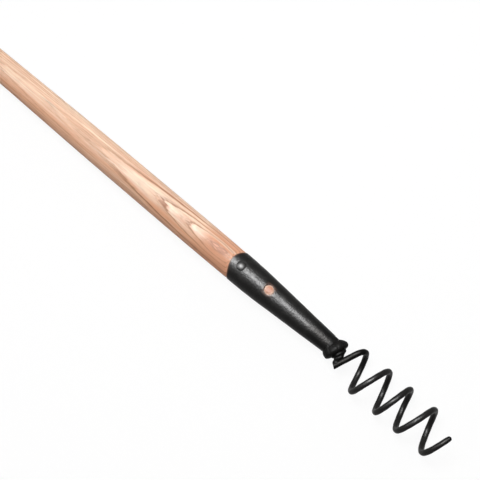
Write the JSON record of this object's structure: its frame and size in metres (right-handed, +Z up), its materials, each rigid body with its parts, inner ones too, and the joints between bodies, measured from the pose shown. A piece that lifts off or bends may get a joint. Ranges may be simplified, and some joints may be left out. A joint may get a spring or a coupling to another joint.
{
  "type": "corkscrew weeder",
  "caption": "Long-handled hand weeder: an ash shaft with a turned crossbar, a riveted black steel socket and an open left-hand corkscrew rod for twisting out tap roots.",
  "frame": {"origin": "on the ground under the middle of the tool's bounding box, with the tool lying down and its rivet facing up", "axes": "+X along the shaft towards the corkscrew's tip, +Y along the crossbar, +Z up out of the ground"},
  "size_m": [1.0006, 0.245, 0.0444],
  "materials": {
    "ash_wood": "turned ash under a thin satin lacquer",
    "black_coating": "satin black coating over forged and welded steel"
  },
  "bodies": {
    "root": {"handle_crossbar": "ash_wood", "handle_shaft": "ash_wood", "tenon_wedge": "ash_wood", "head_socket": "black_coating", "socket_rivet": "black_coating", "nose_stub": "black_coating", "socket_weld": "black_coating", "rod_weld": "black_coating", "corkscrew": "black_coating"}
  },
  "joints": []
}
